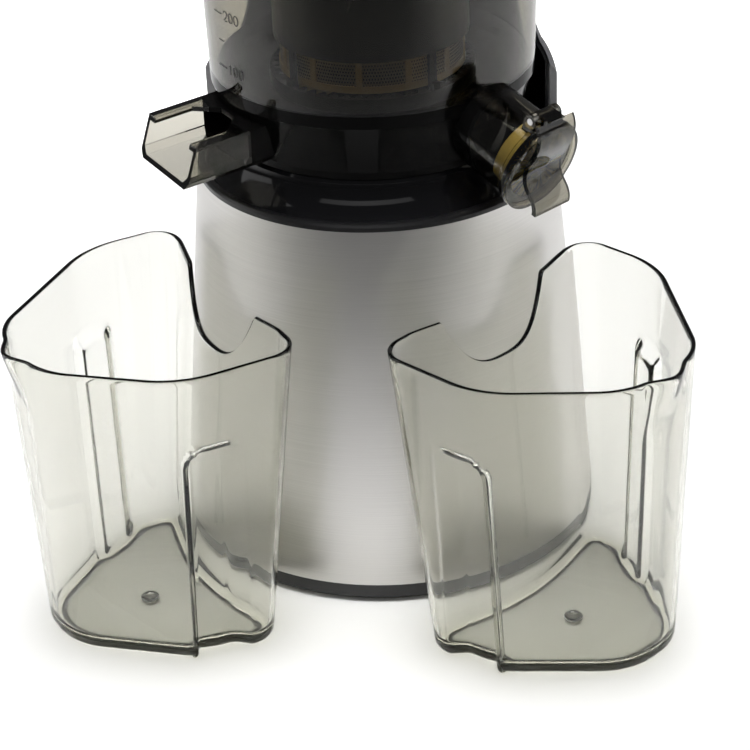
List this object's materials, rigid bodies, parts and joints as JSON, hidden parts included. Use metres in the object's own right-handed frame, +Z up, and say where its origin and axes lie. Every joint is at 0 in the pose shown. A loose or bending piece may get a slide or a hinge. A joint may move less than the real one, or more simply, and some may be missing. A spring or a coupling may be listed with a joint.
{
  "type": "vertical slow juicer",
  "caption": "Upright juicer: tapered steel base, smoked bowl with auger and strainer, capped juice spout, open pulp spout, feed chute, and matching cups with U-cuts.",
  "frame": {"origin": "on the drive axis, in the plane of the table that the rubber foot stands on", "axes": "+Z up along the drive axis, front towards -Y, juice spout towards +X"},
  "size_m": [0.2852, 0.2541, 0.448],
  "materials": {
    "brushed_steel": "fine horizontal brushing",
    "silver_shell": "satin silver lacquer",
    "gloss_black": "high gloss",
    "satin_black": "satin moulded",
    "smoked_clear": "clear, dark smoke tint",
    "tinted_clear": "clear, light olive tint",
    "silicone_amber": "soft satin",
    "silicone_black": "soft satin",
    "rubber_black": "matt",
    "amber_resin": "translucent amber",
    "mesh_steel": "punched sheet",
    "auger_resin": "satin moulded",
    "gear_nylon": "natural nylon",
    "gear_housing": "glass-filled nylon",
    "zinc_steel": "zinc plated",
    "iron": "laminated sheet",
    "copper": "enamelled wire",
    "bearing_steel": "ground",
    "screw_steel": "plated",
    "board_green": "circuit board"
  },
  "bodies": {
    "base": {"foot_ring": "rubber_black", "base_cover": "satin_black", "steel_shell": "brushed_steel", "deck_bezel": "satin_black", "deck_cover": "gloss_black", "handle_shell": "silver_shell", "handle_lining": "satin_black", "base_screws": "screw_steel", "motor_can": "zinc_steel", "motor_pads": "rubber_black", "stator_core": "iron", "stator_winding": "copper", "motor_bearings": "bearing_steel", "gearbox_case": "gear_housing", "gearbox_lid": "gear_housing", "gearbox_screws": "screw_steel", "drive_bearings": "bearing_steel", "shaft_seal": "rubber_black", "control_board": "board_green", "switch_housing": "satin_black", "cord_inlet": "satin_black"},
    "rotor": {"rotor_core": "iron", "rotor_shaft": "bearing_steel", "cooling_fan": "gear_nylon", "motor_pinion": "bearing_steel"},
    "counter": {"counter_shaft": "bearing_steel", "counter_wheel": "gear_nylon", "counter_pinion": "bearing_steel"},
    "output": {"output_wheel": "gear_nylon", "drive_shaft": "bearing_steel"},
    "rocker": {"switch_rocker": "gloss_black"},
    "bowl": {"juicing_bowl": "smoked_clear", "hub_seal": "silicone_black", "idler_pin": "bearing_steel", "cap_hinge_pin": "bearing_steel", "strainer_frame": "amber_resin", "strainer_mesh": "mesh_steel"},
    "idler": {"idler_gear": "gear_nylon"},
    "brush": {"brush_frame": "satin_black", "brush_blades": "silicone_black"},
    "auger": {"auger": "auger_resin"},
    "cap": {"spout_cap": "smoked_clear", "cap_plug": "silicone_amber"},
    "lid": {"lid": "smoked_clear", "lid_bush": "gear_nylon", "lid_seal": "silicone_black"},
    "pusher": {"pusher": "satin_black", "pusher_cap": "satin_black"},
    "pulp_cup": {"pulp_cup": "tinted_clear"},
    "juice_cup": {"juice_cup": "tinted_clear"}
  },
  "joints": [
    {"name": "drive_spin", "type": "hinge", "parent": "base", "child": "output", "pos_m": [0, 0, 0.1], "axis": [0, 0, 1], "continuous": true},
    {"name": "counter_spin", "type": "hinge", "parent": "base", "child": "counter", "pos_m": [0.036, 0, 0.1], "axis": [0, 0, 1], "continuous": true},
    {"name": "rotor_spin", "type": "hinge", "parent": "base", "child": "rotor", "pos_m": [0, 0, 0.05], "axis": [0, 0, 1], "continuous": true},
    {"name": "bowl_lift", "type": "slide", "parent": "base", "child": "bowl", "axis": [0, 0, 1], "range_m": [0, 0.075]},
    {"name": "auger_spin", "type": "hinge", "parent": "bowl", "child": "auger", "pos_m": [0, 0, 0.26], "axis": [0, 0, 1], "continuous": true},
    {"name": "idler_spin", "type": "hinge", "parent": "bowl", "child": "idler", "pos_m": [0.01445, 0.02503, 0.215], "axis": [0, 0, 1], "continuous": true},
    {"name": "brush_spin", "type": "hinge", "parent": "bowl", "child": "brush", "pos_m": [0, 0, 0.26], "axis": [0, 0, 1], "continuous": true},
    {"name": "cap_swing", "type": "hinge", "parent": "bowl", "child": "cap", "pos_m": [0.07807, -0.06099, 0.21976], "axis": [-0.6157, -0.788, 0], "range_deg": [0, 95]},
    {"name": "lid_lift", "type": "slide", "parent": "bowl", "child": "lid", "axis": [0, 0, 1], "range_m": [0, 0.06]},
    {"name": "pusher_slide", "type": "slide", "parent": "lid", "child": "pusher", "axis": [0, 0, 1], "range_m": [0, 0.06]},
    {"name": "rocker_tilt", "type": "hinge", "parent": "base", "child": "rocker", "pos_m": [0, 0.08585, 0.072], "axis": [1, 0, 0], "range_deg": [-12, 12]},
    {"name": "pulp_cup_slide", "type": "slide", "parent": "base", "child": "pulp_cup", "axis": [-0.809, -0.5878, 0], "range_m": [0, 0.12]},
    {"name": "juice_cup_slide", "type": "slide", "parent": "base", "child": "juice_cup", "axis": [0.809, -0.5878, 0], "range_m": [0, 0.12]}
  ],
  "couplings": [
    {"joint": "counter_spin", "follows": "drive_spin", "ratio": -5},
    {"joint": "rotor_spin", "follows": "drive_spin", "ratio": 25},
    {"joint": "auger_spin", "follows": "drive_spin", "ratio": 1},
    {"joint": "idler_spin", "follows": "drive_spin", "ratio": -1.4286},
    {"joint": "brush_spin", "follows": "drive_spin", "ratio": -0.41667}
  ]
}
